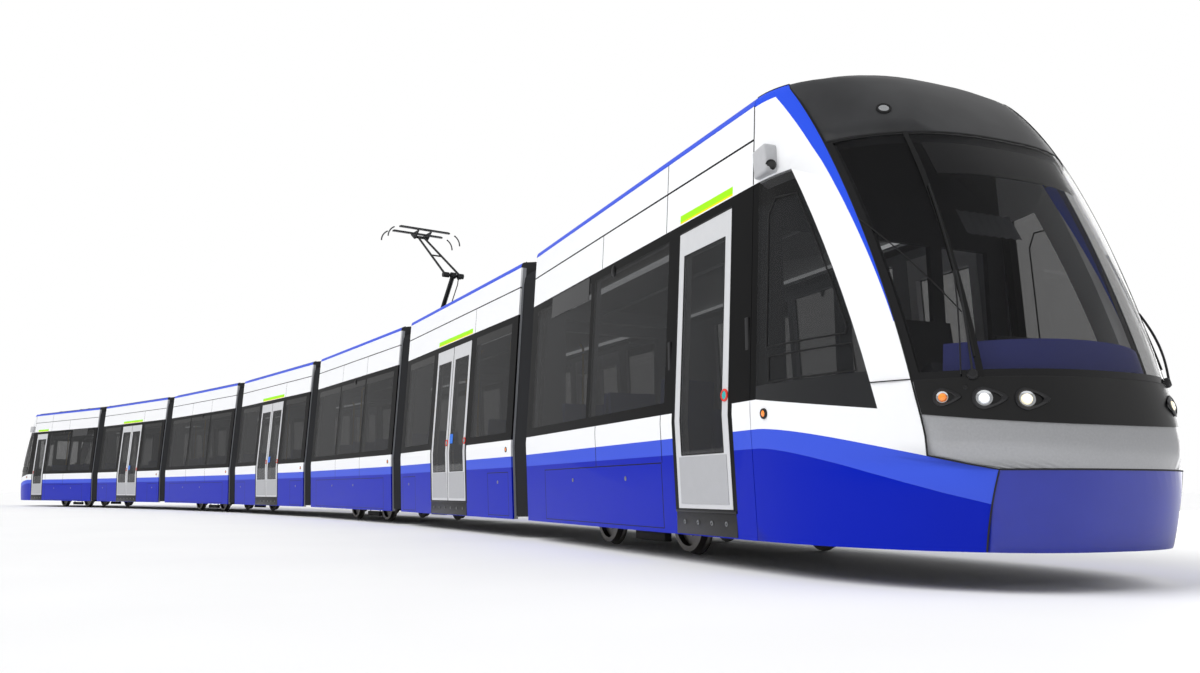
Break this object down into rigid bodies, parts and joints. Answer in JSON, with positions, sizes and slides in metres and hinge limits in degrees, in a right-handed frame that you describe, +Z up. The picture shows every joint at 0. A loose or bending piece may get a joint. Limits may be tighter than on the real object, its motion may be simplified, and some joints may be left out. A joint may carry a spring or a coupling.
{
  "type": "seven-section low-floor tram, 1:2 scale model",
  "caption": "Articulated low-floor tram at half size: two cab cars and five middle cars hinged by bellows, with turning wheelsets and a folding pantograph.",
  "frame": {"origin": "centre of the bounding box on the floor, which the wheel flanges touch", "axes": "+X along the middle car towards the front cab, +Y to the tram's left, +Z up"},
  "size_m": [21.2518, 2.8057, 3.0108],
  "materials": {
    "body_paint": "gloss white over blue",
    "roof_paint": "dark grey, satin",
    "floor_grey": "grey flooring and seats",
    "tinted_glass": "dark tint, flush",
    "door_paint": "gloss white",
    "silver_paint": "metallic silver, the bumper gloss blue",
    "bogie_steel": "dark, dusty",
    "wheel_steel": "turned tread, dull disc",
    "bellows_fabric": "coated pleated cloth",
    "pantograph_paint": "dark grey",
    "pantograph_head_metal": "bare, with carbon strips"
  },
  "bodies": {
    "car_1": {"car_1_walls": "body_paint", "car_1_roof": "roof_paint", "car_1_floor": "floor_grey", "car_1_glazing": "tinted_glass", "car_1_doors": "door_paint", "car_1_mask": "silver_paint", "car_1_windscreen": "tinted_glass", "car_1_bogie_frame": "bogie_steel"},
    "car_2": {"car_2_walls": "body_paint", "car_2_roof": "roof_paint", "car_2_floor": "floor_grey", "car_2_glazing": "tinted_glass", "car_2_doors": "door_paint", "bellows_1_2": "bellows_fabric"},
    "car_3": {"car_3_walls": "body_paint", "car_3_roof": "roof_paint", "car_3_floor": "floor_grey", "car_3_glazing": "tinted_glass", "car_3_bogie_frame": "bogie_steel", "bellows_2_3": "bellows_fabric", "pantograph_base": "pantograph_paint"},
    "car_4": {"car_4_walls": "body_paint", "car_4_roof": "roof_paint", "car_4_floor": "floor_grey", "car_4_glazing": "tinted_glass", "car_4_doors": "door_paint", "bellows_3_4": "bellows_fabric", "bellows_4_5": "bellows_fabric"},
    "car_5": {"car_5_walls": "body_paint", "car_5_roof": "roof_paint", "car_5_floor": "floor_grey", "car_5_glazing": "tinted_glass", "car_5_bogie_frame": "bogie_steel", "bellows_5_6": "bellows_fabric"},
    "car_6": {"car_6_walls": "body_paint", "car_6_roof": "roof_paint", "car_6_floor": "floor_grey", "car_6_glazing": "tinted_glass", "car_6_doors": "door_paint", "bellows_6_7": "bellows_fabric"},
    "car_7": {"car_7_walls": "body_paint", "car_7_roof": "roof_paint", "car_7_floor": "floor_grey", "car_7_glazing": "tinted_glass", "car_7_doors": "door_paint", "car_7_mask": "silver_paint", "car_7_windscreen": "tinted_glass", "car_7_bogie_frame": "bogie_steel"},
    "car_1_front_wheelset": {"car_1_front_wheelset": "wheel_steel"},
    "car_1_rear_wheelset": {"car_1_rear_wheelset": "wheel_steel"},
    "car_3_front_wheelset": {"car_3_front_wheelset": "wheel_steel"},
    "car_3_rear_wheelset": {"car_3_rear_wheelset": "wheel_steel"},
    "car_5_front_wheelset": {"car_5_front_wheelset": "wheel_steel"},
    "car_5_rear_wheelset": {"car_5_rear_wheelset": "wheel_steel"},
    "car_7_front_wheelset": {"car_7_front_wheelset": "wheel_steel"},
    "car_7_rear_wheelset": {"car_7_rear_wheelset": "wheel_steel"},
    "pantograph_lower_arm": {"pantograph_lower_arm": "pantograph_paint"},
    "pantograph_upper_arm": {"pantograph_upper_arm": "pantograph_paint"},
    "pantograph_rod": {"pantograph_rod": "pantograph_paint"},
    "pantograph_head": {"pantograph_head": "pantograph_head_metal"}
  },
  "joints": [
    {"name": "knuckle_3_4", "type": "hinge", "parent": "car_4", "child": "car_3", "pos_m": [1.415, 0.77172, 0.138], "axis": [0, 0, 1], "range_deg": [-8, 18], "deforming": ["bellows_3_4"]},
    {"name": "knuckle_2_3", "type": "hinge", "parent": "car_3", "child": "car_2", "pos_m": [4.23423, 0.52507, 0.138], "axis": [0, 0, 1], "range_deg": [-8, 18], "deforming": ["bellows_2_3"]},
    {"name": "knuckle_1_2", "type": "hinge", "parent": "car_2", "child": "car_1", "pos_m": [7.02124, 0.03365, 0.138], "axis": [0, 0, 1], "range_deg": [-8, 18], "deforming": ["bellows_1_2"]},
    {"name": "knuckle_4_5", "type": "hinge", "parent": "car_4", "child": "car_5", "pos_m": [-1.415, 0.77172, 0.138], "axis": [0, 0, -1], "range_deg": [-8, 18], "deforming": ["bellows_4_5"]},
    {"name": "knuckle_5_6", "type": "hinge", "parent": "car_5", "child": "car_6", "pos_m": [-4.23423, 0.52507, 0.138], "axis": [0, 0, -1], "range_deg": [-8, 18], "deforming": ["bellows_5_6"]},
    {"name": "knuckle_6_7", "type": "hinge", "parent": "car_6", "child": "car_7", "pos_m": [-7.02124, 0.03365, 0.138], "axis": [0, 0, -1], "range_deg": [-8, 18], "deforming": ["bellows_6_7"]},
    {"name": "car_1_front_axle", "type": "hinge", "parent": "car_1", "child": "car_1_front_wheelset", "pos_m": [8.68987, -0.41346, 0.164], "axis": [0.2588, 0.9659, 0], "continuous": true},
    {"name": "car_1_rear_axle", "type": "hinge", "parent": "car_1", "child": "car_1_rear_wheelset", "pos_m": [7.79639, -0.17405, 0.164], "axis": [0.2588, 0.9659, 0], "continuous": true},
    {"name": "car_3_front_axle", "type": "hinge", "parent": "car_3", "child": "car_3_front_wheelset", "pos_m": [3.28536, 0.60809, 0.164], "axis": [0.0872, 0.9962, 0], "continuous": true},
    {"name": "car_3_rear_axle", "type": "hinge", "parent": "car_3", "child": "car_3_rear_wheelset", "pos_m": [2.36388, 0.68871, 0.164], "axis": [0.0872, 0.9962, 0], "continuous": true},
    {"name": "car_5_front_axle", "type": "hinge", "parent": "car_5", "child": "car_5_front_wheelset", "pos_m": [-2.36388, 0.68871, 0.164], "axis": [-0.0872, 0.9962, 0], "continuous": true},
    {"name": "car_5_rear_axle", "type": "hinge", "parent": "car_5", "child": "car_5_rear_wheelset", "pos_m": [-3.28536, 0.60809, 0.164], "axis": [-0.0872, 0.9962, 0], "continuous": true},
    {"name": "car_7_front_axle", "type": "hinge", "parent": "car_7", "child": "car_7_front_wheelset", "pos_m": [-8.68987, -0.41346, 0.164], "axis": [-0.2588, 0.9659, 0], "continuous": true},
    {"name": "car_7_rear_axle", "type": "hinge", "parent": "car_7", "child": "car_7_rear_wheelset", "pos_m": [-7.79639, -0.17405, 0.164], "axis": [-0.2588, 0.9659, 0], "continuous": true},
    {"name": "pantograph_raise", "type": "hinge", "parent": "car_3", "child": "pantograph_lower_arm", "pos_m": [3.42233, 0.5961, 1.889], "axis": [-0.0872, -0.9962, 0], "range_deg": [-43, 8]},
    {"name": "pantograph_knee", "type": "hinge", "parent": "pantograph_lower_arm", "child": "pantograph_upper_arm", "pos_m": [3.81121, 0.56208, 2.36423], "axis": [-0.0872, -0.9962, 0], "range_deg": [-15, 74]},
    {"name": "pantograph_rod_swing", "type": "hinge", "parent": "car_3", "child": "pantograph_rod", "pos_m": [3.49207, 0.59, 1.863], "axis": [-0.0872, -0.9962, 0], "range_deg": [-44, 9]},
    {"name": "pantograph_head_level", "type": "hinge", "parent": "pantograph_upper_arm", "child": "pantograph_head", "pos_m": [2.95045, 0.63739, 2.94484], "axis": [-0.0872, -0.9962, 0], "range_deg": [-30, 7]}
  ],
  "couplings": [
    {"joint": "pantograph_knee", "follows": "pantograph_raise", "ratio": -1.673},
    {"joint": "pantograph_rod_swing", "follows": "pantograph_raise", "ratio": 0.995},
    {"joint": "pantograph_head_level", "follows": "pantograph_raise", "ratio": 0.673}
  ]
}
